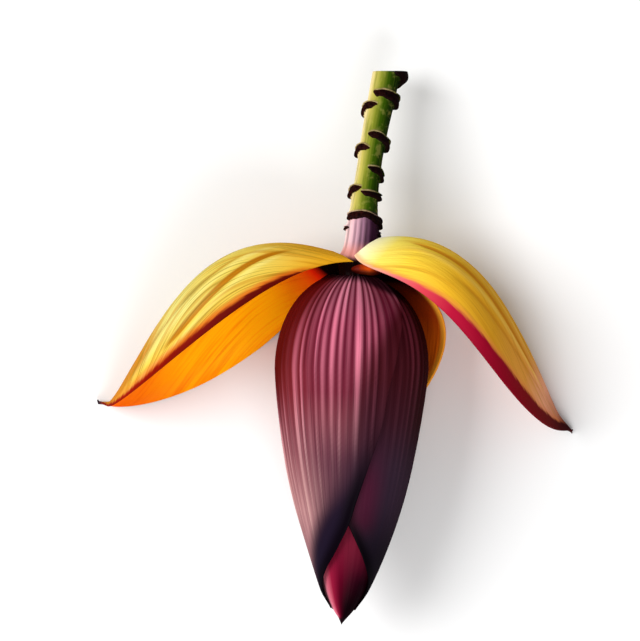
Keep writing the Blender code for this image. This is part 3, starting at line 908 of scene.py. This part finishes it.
# A piece's skin vector, on which its streaks lie, is the distance across the bract or heart, the
# distance along it, and a number of its own, so that no two share a pattern. On the stalk it is a place
# on a straight rod, and on the cushion a place in space.
SKIN_THIRD_SCALE = 40.0
FIBRE_WIDTH = 0.6 * MM
FIBRE_LENGTH = 30 * MM
CELLS_IN_A_METRE = 900.0
STREAKS = make_group(lengthwise_streaks, "Value", Skin=None, Width=1 * MM, Length=50 * MM, Contrast=1.0)
BLOTCHES = make_group(soft_blotches, "Value", Size=20 * MM, Contrast=1.0)
SKIN_HEIGHT = make_group(skin_height, "Height", Skin=None, Fibres=0.6, Cells=0.4)


def streaks(tree, width, length, contrast):
    """Streaks of a width and length in mm on the piece's skin."""
    return use(tree, STREAKS, Skin=read(tree, "skin"), Width=width * MM, Length=length * MM,
               Contrast=contrast)


def blotches(tree, size, contrast):
    """Blotches of a size in mm."""
    return use(tree, BLOTCHES, Size=size * MM, Contrast=contrast)


# ---------------------------------------------------------------- finishes

# The thin wax on every piece.
COAT = 0.03
COAT_ROUGHNESS = 0.35
# Streaks of dull and glossy skin: width and length in mm, and contrast.
GLOSS_STREAKS = (2.2, 40, 1.4)


def inner_side(tree):
    """0 on a sheet's outer side, 1 on its inner side, changing over at the middle of its rims."""
    return read(tree, "inside").step(0.3, 0.7)


INNER_SIDE = make_group(inner_side, "Value")


def finish_skin(name, paint, roughness, fibres, cells, depth, coat=COAT, glow=0.0):
    """A Principled material: paint(tree) gives the colour, roughness is a low and a high value.

    Its bump comes from the fibres and cells of the skin, depth in mm. glow is painted light: the inner
    side gives off its own colour at this strength, in place of the light that comes through a thin bract.
    """
    material = bpy.data.materials.new(name)
    material.use_nodes = True
    tree = material.node_tree
    shader = tree.nodes["Principled BSDF"]
    colour = paint(tree)
    # Painted light: the inner side glows with its own colour.
    if glow:
        lit = use(tree, INNER_SIDE).mix((0, 0, 0), colour)
        tree.links.new(lit.socket, shader.inputs["Emission Color"])
        shader.inputs["Emission Strength"].default_value = glow
    low, high = roughness
    patches = streaks(tree, *GLOSS_STREAKS)
    worn = put(tree, "ShaderNodeMapRange", {"Value": patches, "To Min": low, "To Max": high})
    height = use(tree, SKIN_HEIGHT, Skin=read(tree, "skin"), Fibres=fibres, Cells=cells)
    bump = put(tree, "ShaderNodeBump", {"Height": height, "Distance": depth * MM, "Strength": 1.0})
    for socket, field in (("Base Color", colour), ("Roughness", worn), ("Normal", bump)):
        tree.links.new(field.socket, shader.inputs[socket])
    shader.inputs["Coat Weight"].default_value = coat
    shader.inputs["Coat Roughness"].default_value = COAT_ROUGHNESS
    shader.inputs["Specular IOR Level"].default_value = 0
    return material


def paint_left_bract(tree):
    """Pale yellow ridges and ochre valleys outside, orange inside, a dark red near margin.

    Outside, the fold crests are paler as painted light and the fold valleys are darker ochre as painted
    shade. Inside, the base is near black as painted shade, and the part towards the far margin is brighter
    as painted light.
    """
    along, across, fold, band = read(tree, "along", "across", "fold", "band")
    pale = along.step(0.36, 0.54) * along.step(0.86, 0.74) * across.step(0.08, 0.2)
    low = along.step(0.55, 0.72) * along.times_plus(0.5, across).step(0.43, 0.53)
    outer = layers(
        across.ramp((0, 226, 176, 44), (0.12, 224, 200, 88), (0.3, 212, 186, 80), (0.42, 200, 186, 104),
                    (0.6, 196, 140, 40), (1, 150, 80, 24)),
        (along.step(0.32, 0.05), 0.9, (224, 158, 22)),
        # Painted shade in the fold valleys and painted light on the fold crests.
        (fold.step(-0.1, -1.1), 0.95, (178, 108, 4)),
        (fold.step(0.15, 0.9), 0.55, (236, 222, 130)),
        (pale, 0.55, (206, 204, 128)),
        (low, 0.9, (190, 112, 22)),
        (streaks(tree, 2.4, 90, 3).step(0.52, 0.85), 0.5, (184, 120, 12)),
        (streaks(tree, 0.8, 60, 3).step(0.56, 0.9), 0.55, (130, 112, 26)))
    lit = along.step(0.13, 0.2)
    # Painted light: the inner side brighter towards the far margin, away from the near margin's shade.
    bright = across.step(0.42, 0.85) * along.step(0.16, 0.34) * along.step(0.86, 0.6)
    inner = layers(
        # Near black at the base as painted shade, where the bract leaves the neck.
        along.ramp((0, 5, 1, 1), (0.085, 14, 2, 1), (0.12, 250, 44, 8), (0.17, 255, 112, 10),
                   (0.3, 248, 140, 4), (0.66, 236, 120, 4), (0.84, 228, 108, 6), (1, 218, 80, 8)),
        (bright, 0.85, (250, 174, 6)),
        (streaks(tree, 5, 90, 2.4).step(0.45, 0.9) * lit, 0.5, (224, 92, 2)),
        (streaks(tree, 1.2, 60, 3).step(0.5, 0.95) * lit, 0.3, (200, 80, 4)))
    frayed = streaks(tree, 1.6, 12, 2).times_plus(1.5, band)
    warm = frayed.step(6, 1.6) * along.step(0.1, 0.2) * along.step(1, 0.62)
    red = along.ramp((0, 90, 12, 4), (0.4, 108, 12, 4), (0.66, 150, 22, 6), (0.8, 160, 26, 8),
                     (1, 120, 16, 14))
    red = layers(red, (frayed.step(1.6, -1), 0.35, (60, 4, 4)))
    return layers(use(tree, INNER_SIDE).mix(outer, inner),
                  (warm, 0.85, (206, 84, 14)),
                  (frayed.step(2.4, 0.4), 1, red),
                  (along.step(0.965, 0.995), 1, (40, 28, 36)))


def paint_right_bract(tree):
    """Cream base, yellow and ochre outside, a crimson band along the near margin, a maroon tip.

    The cream base is partly its own pale colour and partly painted light. Outside, the far side is darker
    as painted shade, the fold valleys are darker ochre as painted shade, and the crests are paler as
    painted light. Inside, the base is near black as painted shade.
    """
    along, across, fold, band = read(tree, "along", "across", "fold", "band")
    far = across.step(0.3, 0.55) * along.step(0.1, 0.3) * along.step(0.88, 0.74)
    grown = along.step(0.02, 0.22)
    outer = layers(
        # Cream at the base, partly its own pale colour and partly painted light.
        along.ramp((0, 244, 236, 190), (0.07, 236, 226, 150), (0.13, 236, 214, 92), (0.24, 240, 204, 62),
                   (0.42, 226, 172, 38), (0.62, 214, 152, 36), (0.78, 222, 150, 64), (0.88, 232, 160, 126),
                   (1, 150, 70, 54)),
        # The far side darker as painted shade.
        (far, 0.5, (212, 158, 44)),
        # Painted shade in the fold valleys and painted light on the fold crests.
        (fold.step(-0.05, -0.8), 0.8, (196, 116, 12)),
        (fold.step(0.1, 0.8), 0.5, (248, 214, 100)),
        (streaks(tree, 3.2, 90, 2.6).step(0.5, 0.9) * grown, 0.4, (198, 132, 20)),
        (streaks(tree, 0.7, 50, 3).step(0.6, 0.95) * grown, 0.35, (156, 104, 28)))
    inner = layers(
        # Near black at the base as painted shade.
        along.ramp((0, 8, 2, 1), (0.14, 24, 4, 2), (0.3, 140, 40, 8), (0.7, 226, 112, 8), (1, 170, 50, 18)),
        (streaks(tree, 2.6, 70, 3).step(0.45, 0.85) * along.step(0.2, 0.4), 0.5, (190, 74, 6)))
    crimson = along.ramp((0, 240, 200, 160), (0.14, 232, 160, 140), (0.24, 216, 104, 108),
                         (0.34, 206, 62, 76), (0.46, 172, 20, 52), (0.6, 146, 10, 38), (0.78, 120, 14, 22),
                         (0.9, 96, 20, 20), (1, 44, 8, 10))
    frayed = streaks(tree, 1.5, 14, 2).times_plus(1.8, band)
    return layers(use(tree, INNER_SIDE).mix(outer, inner),
                  (frayed.step(5.5, 0.8), 0.6, (214, 112, 60)),
                  (frayed.step(2.4, 0), 1, crimson),
                  (band.step(-4, -12), 0.5, (110, 4, 26)),
                  (along.step(0.94, 0.99), 1, (56, 16, 18)))


def paint_back_bract(tree):
    """Orange inside with a dark root, red-brown outside, and a yellow rim.

    The dark root, and the inner side's darkening away from the margins where it lies under the bud, are
    painted shade.
    """
    along, edge = read(tree, "along", "edge")
    outer = layers(along.ramp((0, 200, 140, 60), (0.3, 150, 60, 30), (1, 96, 24, 30)),
                   (streaks(tree, 2.2, 70, 3), 0.5, (110, 30, 20)))
    inner = layers(
        # Dark at the root as painted shade.
        along.ramp((0, 20, 3, 2), (0.2, 60, 12, 4), (0.36, 150, 50, 8), (0.5, 214, 96, 12),
                   (0.8, 228, 116, 18), (1, 200, 96, 20)),
        (streaks(tree, 2.6, 60, 2.8).step(0.4, 0.9) * along.step(0.2, 0.4), 0.55, (126, 34, 4)),
        # Painted shade, darker away from the margins, under the bud.
        (edge.step(4, 16), 0.5, (110, 30, 4)))
    return layers(use(tree, INNER_SIDE).mix(outer, inner),
                  # Painted shade, near black, at the root.
                  (along.step(0.18, 0.08), 1, (8, 2, 1)),
                  (edge.step(6, 0.5) * along.step(0.16, 0.3), 0.8, (240, 160, 46)))


def ribbed_plum(tree):
    """Ribbed plum of the closed bud: pink in front, brown at the left, slate and black below.

    The pink is partly its own colour and partly painted light. The darker plum round it is partly its own
    colour and partly painted shade, and is darkest at the right. The brown at the upper left is the painted
    shadow of the left raised bract. Rib crests are paler, partly their own wax and partly painted
    highlight, and the valleys are darker as painted shade.
    """
    along, angle, rib, pink_and_lit_share = read(tree, "along", "angle", "rib", "flush")
    # Paler colours on the rib crests, partly their own wax and partly painted highlight; darker valleys as
    # painted shade.
    crest = rib.step(-0.05, 0.95)
    # Painted shadow of the left raised bract over the bud's upper left, in brown.
    left = angle.step(-20, -60) * along.step(0.5, 0.3)
    below = along.step(0.38, 0.56) * angle.step(-62, -14)
    pink_valley = along.ramp((0.04, 84, 6, 30), (0.16, 92, 12, 38), (0.34, 98, 28, 44), (0.52, 126, 70, 78),
                             (0.68, 160, 112, 114), (0.95, 134, 96, 104))
    pink_crest = along.ramp((0.04, 255, 160, 186), (0.16, 238, 128, 156), (0.34, 200, 114, 132),
                            (0.52, 204, 150, 152), (0.68, 216, 170, 164), (0.95, 188, 146, 144))
    dark_valley = along.ramp((0.04, 62, 7, 16), (0.3, 58, 15, 22), (0.55, 50, 27, 40), (0.78, 30, 19, 34),
                             (0.95, 6, 3, 6))
    dark_crest = along.ramp((0.04, 160, 60, 80), (0.3, 112, 50, 64), (0.55, 84, 56, 70), (0.78, 44, 32, 46),
                            (0.95, 8, 4, 8))
    pink = layers(crest.mix(pink_valley, pink_crest),
                  (left, 0.6, (120, 36, 34)),
                  (below, 0.76, (66, 32, 50)))
    dark = layers(crest.mix(dark_valley, dark_crest),
                  # Painted shade down the bud's right side.
                  (angle.step(44, 74), 0.75, (34, 8, 6)),
                  (left, 0.85, (86, 12, 6)))
    return layers(pink_and_lit_share.mix(dark, pink), (streaks(tree, 0.8, 60, 3).step(0.54, 0.95), 0.4, (44, 8, 20)))


def neck_shade(tree, colour):
    """A colour with painted shade at the rim round the neck, deeper at the right."""
    along, angle = read(tree, "along", "angle")
    reach = angle.step(0, 60).times_plus(0.04, 0.052)
    return layers(colour, ((along - reach).step(0.008, -0.012), 0.9, (22, 3, 8)))


def crimson_lining(tree, colour):
    """A colour with the crimson of a closed bract's inner side laid where the piece is inside."""
    lining = streaks(tree, 2, 50, 2).mix((150, 20, 40), (96, 8, 26))
    return layers(colour, (read(tree, "inside").step(0.8, 0.98), 1, lining))


RIBBED_PLUM = make_group(ribbed_plum, "Color")
NECK_SHADE = make_group(neck_shade, "Color", Color=None)
CRIMSON_LINING = make_group(crimson_lining, "Color", Color=None)


def paint_front_bract(tree):
    """The bud's plum, slate and then near black in a strip along its lower margin."""
    along, edge = read(tree, "along", "edge")
    colour = layers(use(tree, RIBBED_PLUM),
                    (edge.step(28, 7) * along.step(0.46, 0.72), 0.88, (24, 17, 33)),
                    (edge.step(10, 1.5) * along.step(0.35, 0.66), 0.95, (7, 3, 8)))
    return use(tree, CRIMSON_LINING, Color=use(tree, NECK_SHADE, Color=colour))


def paint_right_closed(tree):
    """The bud's plum, with a crimson tint beside the front bract and near black at its lower margin."""
    along, angle, edge = read(tree, "along", "angle", "edge")
    tint = along.step(0.42, 0.62) * along.step(0.78, 0.7) * angle.step(44, 14)
    colour = layers(use(tree, NECK_SHADE, Color=use(tree, RIBBED_PLUM)),
                    (along.step(0.4, 0.6), 0.55, (50, 38, 54)),
                    (tint, 0.75, (74, 18, 42)),
                    (along.step(0.62, 0.84), 0.84, (11, 8, 15)),
                    (edge.step(9, 0.5) * along.step(0.62, 0.75), 0.9, (6, 3, 6)))
    return use(tree, CRIMSON_LINING, Color=colour)


def paint_back_closed(tree):
    """The bud's plum, browner, and darker towards the tip."""
    colour = layers(use(tree, RIBBED_PLUM), (read(tree, "along").step(0.3, 0.9), 0.6, (40, 12, 18)))
    return use(tree, CRIMSON_LINING, Color=colour)


def paint_heart(tree):
    """Crimson, with a pale pink painted highlight along its left edge and painted shade, near black, at the
    right and the lower right.
    """
    along, angle = read(tree, "along", "angle")
    return layers(
        # Across the heart: a pale painted highlight at its left edge, then crimson, then painted shade to
        # near black at its right.
        angle.step(-80, 50).ramp((0, 214, 130, 146), (0.1, 196, 92, 112), (0.26, 138, 22, 52),
                                 (0.5, 88, 2, 28), (0.8, 56, 3, 22), (1, 28, 3, 14)),
        (along.step(0.9, 0.76), 0.7, (118, 24, 48)),
        # Painted shade, near black, at the lower right.
        (along.step(0.84, 0.97) * angle.step(-52, 16), 1, (8, 1, 4)),
        (along.step(0.985, 1), 1, (18, 8, 12)),
        (streaks(tree, 0.9, 60, 2.4).step(0.5, 1), 0.35, (60, 2, 20)))


BUNDLES_IN_A_METRE = 700.0


def paint_stalk(tree):
    """Green with a pale yellow side, dark scars with pale rims, a purple neck and a pale cut face.

    The pale side of the green and of the purple is painted light, and their dark other side is painted
    shade. Painted shade also darkens the neck's flute grooves, its root in the bud's opening and the
    scars on the dark side. The pale rims show only on the lit side.
    """
    along, scar, rim, cut, core, sway, flute, skin = read(
        tree, "along", "scar", "rim", "cut", "core", "sway", "flute", "skin")
    # Across the stalk, 0 at its pale side and 1 at its dark one: the ramps below paint light on one side and
    # shade on the other.
    side = sway.times_plus(0.5, 0.5)
    green = layers(
        side.ramp((0, 232, 212, 158), (0.14, 192, 178, 88), (0.36, 128, 134, 40), (0.6, 54, 82, 6),
                  (0.85, 22, 44, 3), (1, 14, 28, 3)),
        (streaks(tree, 1.1, 26, 2.8).step(0.45, 0.95), 0.45, (66, 88, 14)),
        (blotches(tree, 6, 2.4).step(0.55, 0.95), 0.25, (176, 168, 84)))
    purple = layers(
        side.ramp((0, 240, 206, 204), (0.24, 216, 170, 182), (0.5, 150, 108, 130), (0.74, 66, 34, 58),
                  (1, 34, 14, 26)),
        # Painted shade in the flutes' grooves.
        (flute.step(0.3, -0.9), 0.5, (52, 20, 44)),
        (along.step(0.19, 0.115), 0.75, (220, 136, 120)),
        # Painted shade, near black, at the root in the bud's opening.
        (along.step(0.115, 0.085), 1, (18, 4, 4)))
    rim_colour = blotches(tree, 2, 2).mix((196, 172, 128), (118, 88, 58))
    scar_colour = layers(blotches(tree, 1.6, 3).mix((5, 2, 3), (46, 16, 12)),
                         # Painted shade over the scars on the dark side.
                         (side.step(0.3, 0.8), 0.7, (6, 4, 5)))
    bundles = put(tree, "ShaderNodeTexVoronoi", {"Vector": skin, "Scale": BUNDLES_IN_A_METRE}, "Distance")
    flesh = layers(core.ramp((0, 226, 216, 168), (0.7, 206, 200, 130), (0.9, 150, 150, 60), (1, 70, 60, 26)),
                   (bundles.step(0.35, 0.1), 1, (120, 84, 44)))
    return layers(along.step(0.335, 0.31).mix(green, purple),
                  # The rims' own pale colour, shown only on the lit side as painted light.
                  (rim * along.step(0.27, 0.3) * side.step(1, 0.6), 0.75, rim_colour),
                  (scar.step(0.2, 0.8), 1, scar_colour),
                  (cut, 1, flesh))


def paint_cushion(tree):
    """Wet orange tissue, brightest in the middle, partly as painted light, and red-brown and darker towards
    both ends and below as painted shade.
    """
    along, sway = read(tree, "along", "sway")
    return layers(
        # Orange and brightest in the middle, partly as painted light, and dark towards both ends as painted
        # shade.
        along.ramp((0, 26, 4, 2), (0.18, 100, 18, 5), (0.4, 224, 84, 16), (0.56, 170, 44, 8),
                   (0.8, 60, 10, 4), (1, 20, 4, 2)),
        (blotches(tree, 3, 2.4), 0.4, (130, 30, 8)),
        # Painted shade below.
        (sway.step(0.2, -0.7), 0.85, (30, 4, 2)))


# ---------------------------------------------------------------- the blossom

# Folds of the raised bracts: (place across at the base, place at the tip, width, height in mm, the
# shares of the length where it starts and ends). Places and widths are shares of the bract's width.
LEFT_FOLDS = [
    (0.205, -0.03, 0.024, 0.8, 0.12, 0.95), (0.261, -0.042, 0.02, -1.9, 0.1, 0.68),
    (0.315, 0.04, 0.026, 0.7, 0.1, 0.8), (0.33, 0.13, 0.013, -0.8, 0.2, 0.78),
    (0.39, 0.2, 0.022, 0.45, 0.1, 0.85), (0.43, 0.27, 0.013, -0.7, 0.15, 0.8),
    (0.48, 0.38, 0.03, 0.5, 0.1, 0.85), (0.55, 0.52, 0.03, -0.7, 0.1, 0.9),
    (0.66, 0.66, 0.04, 0.6, 0.1, 0.9), (0.78, 0.78, 0.04, -0.7, 0.1, 0.9)]
RIGHT_FOLDS = [
    (0.18, 0.32, 0.022, -0.5, 0.35, 0.95), (0.24, 0.36, 0.03, 0.6, 0.1, 0.95),
    (0.32, 0.42, 0.025, -0.9, 0.12, 0.9), (0.39, 0.47, 0.025, 0.5, 0.1, 0.9),
    (0.46, 0.52, 0.02, -0.5, 0.2, 0.9), (0.55, 0.58, 0.035, 0.4, 0.1, 0.9),
    (0.68, 0.66, 0.04, -0.8, 0.1, 0.9), (0.8, 0.8, 0.05, 0.7, 0.1, 0.9)]
BACK_FOLDS = [
    (0.2, 0.3, 0.06, -0.8, 0.1, 0.9), (0.35, 0.4, 0.05, 0.6, 0.1, 0.9),
    (0.65, 0.6, 0.06, 0.6, 0.1, 0.9), (0.8, 0.7, 0.06, -0.8, 0.1, 0.9)]
# Tinted bands on their near margins: (share of the length, width in mm).
LEFT_BAND = [(0, -3), (0.12, -2), (0.25, 2), (0.4, 3.6), (0.6, 2.8), (0.75, 1.5), (0.85, 0.9), (1, 0.6)]
RIGHT_BAND = [(0, 0.3), (0.13, 0.6), (0.21, 1.2), (0.31, 3.2), (0.4, 5.4), (0.5, 7.6), (0.62, 9.4),
              (0.76, 9.5), (0.87, 7.3), (1, 4)]
BACK_BAND = [(0, 1), (1, 1)]

# Raised bracts: node, guides, folds, band, paint, bump depth in mm, glow (painted light given off by
# the inner side), grid, seed.
RAISED_BRACTS = [
    ("left_bract", LEFT_GUIDES, LEFT_FOLDS, LEFT_BAND, paint_left_bract, 0.22, 0.3, (224, 140), 11),
    ("right_bract", RIGHT_GUIDES, RIGHT_FOLDS, RIGHT_BAND, paint_right_bract, 0.2, 0.12, (224, 140), 23),
    ("back_bract", BACK_GUIDES, BACK_FOLDS, BACK_BAND, paint_back_bract, 0.2, 0.12, (140, 100), 37)]
# Closed bracts: node, layer, margins, rib height in mm, the numbers of rib_fade, material, paint,
# roughness, grid.
CLOSED_BRACTS = [
    ("bud_bract_front", 3, FRONT_MARGINS, 1.1, (1, 0.66, 0.2, 0.2, 0.35), "bud_plum", paint_front_bract,
     (0.4, 0.55), (112, 410)),
    ("bud_bract_right", 2, RIGHT_MARGINS, 0.8, (0.65, 0.85, 0.35, 0, 0), "bud_slate", paint_right_closed,
     (0.4, 0.55), (105, 380)),
    ("bud_bract_back", 1, BACK_MARGINS, 0.4, (0.6, 0.95, 0.35, 0, 0), "bud_brown", paint_back_closed,
     (0.42, 0.56), (90, 240))]


def build_blossom():
    """All nine pieces, each with its own material."""
    fibrous = finish_skin("stalk", paint_stalk, (0.42, 0.62), fibres=0.7, cells=0.4, depth=0.25)
    add_stalk(fibrous, (440, 156))
    wet = finish_skin("flower_cushion", paint_cushion, (0.3, 0.45), fibres=0.2, cells=0.8, depth=0.3,
                      coat=0.06)
    add_flower_cushion(wet, (90, 48))
    for node, guides, folds, band, paint, depth, glow, grid, seed in RAISED_BRACTS:
        material = finish_skin(node, paint, (0.36, 0.52), fibres=0.6, cells=0.3, depth=depth, glow=glow)
        add_raised_bract(node, guides, folds, band, material, grid, seed)
    for node, layer, margins, height, fade, name, paint, roughness, grid in CLOSED_BRACTS:
        material = finish_skin(name, paint, roughness, fibres=0.5, cells=0.3, depth=0.12)
        add_closed_bract(node, layer, margins, height * MM, fade, material, grid)
    crimson = finish_skin("heart_crimson", paint_heart, (0.3, 0.45), fibres=0.4, cells=0.2, depth=0.08)
    add_heart(crimson, (130, 180))


# ---------------------------------------------------------------- table, light and camera

TABLE_HALF = 3.0
TABLE_GREY = 0.9
# Area lights: name, place from the blossom's middle, size and power in watts.
LIGHTS = [("key", (-1.3, 0.35, 1.45), 1.3, 37), ("fill", (0.2, -1.4, 1.4), 1.2, 20)]
WORLD_STRENGTH = 0.4
CAMERA_SHIFT = (-9.86 * MM, 15.83 * MM)
CAMERA_HEIGHT = 2.717
LENS = 250


def make_floor():
    """A plain pale table top, well wider than the view."""
    h = TABLE_HALF
    mesh = bpy.data.meshes.new("table")
    mesh.from_pydata([(-h, -h, 0), (h, -h, 0), (h, h, 0), (-h, h, 0)], [], [(0, 1, 2, 3)])
    material = bpy.data.materials.new("table_white")
    material.use_nodes = True
    shader = material.node_tree.nodes["Principled BSDF"]
    shader.inputs["Base Color"].default_value = (TABLE_GREY, TABLE_GREY, TABLE_GREY, 1)
    shader.inputs["Roughness"].default_value = 0.9
    shader.inputs["Specular IOR Level"].default_value = 0.1
    mesh.materials.append(material)
    table = add_object("table", mesh)


def add_area_light(name, place, target, size, watts):
    """A square area light at a place, aimed at a target."""
    light = bpy.data.lights.new(name, "AREA")
    light.size = size
    light.energy = watts
    direction = unit(target - place)
    side = unit(np.cross(direction, [0.0, 1.0, 0.0]))
    turned = np.eye(4)
    turned[:3] = np.stack([side, np.cross(side, direction), -direction, place], axis=1)
    add_object(name, light).matrix_world = Matrix(turned.tolist())


def make_light_and_camera():
    """A soft key light from the left and above, a weak fill, a pale world, and a camera looking down."""
    scene = bpy.context.scene
    middle = np.array(cad_bounds).mean(axis=0)
    for name, shift, size, watts in LIGHTS:
        add_area_light(name, middle + np.array(shift), middle, size, watts)
    world = bpy.data.worlds.new("studio")
    world.use_nodes = True
    background = world.node_tree.nodes["Background"]
    background.inputs["Color"].default_value = (1, 1, 1, 1)
    background.inputs["Strength"].default_value = WORLD_STRENGTH
    scene.world = world
    scene.view_settings.view_transform = "Standard"
    lens = bpy.data.cameras.new("camera")
    lens.lens = LENS
    lens.sensor_width = 36
    lens.clip_end = 20
    camera = add_object("camera", lens)
    camera.location = (middle[0] + CAMERA_SHIFT[0], middle[1] + CAMERA_SHIFT[1], CAMERA_HEIGHT)
    scene.camera = camera


build_blossom()
make_floor()
make_light_and_camera()
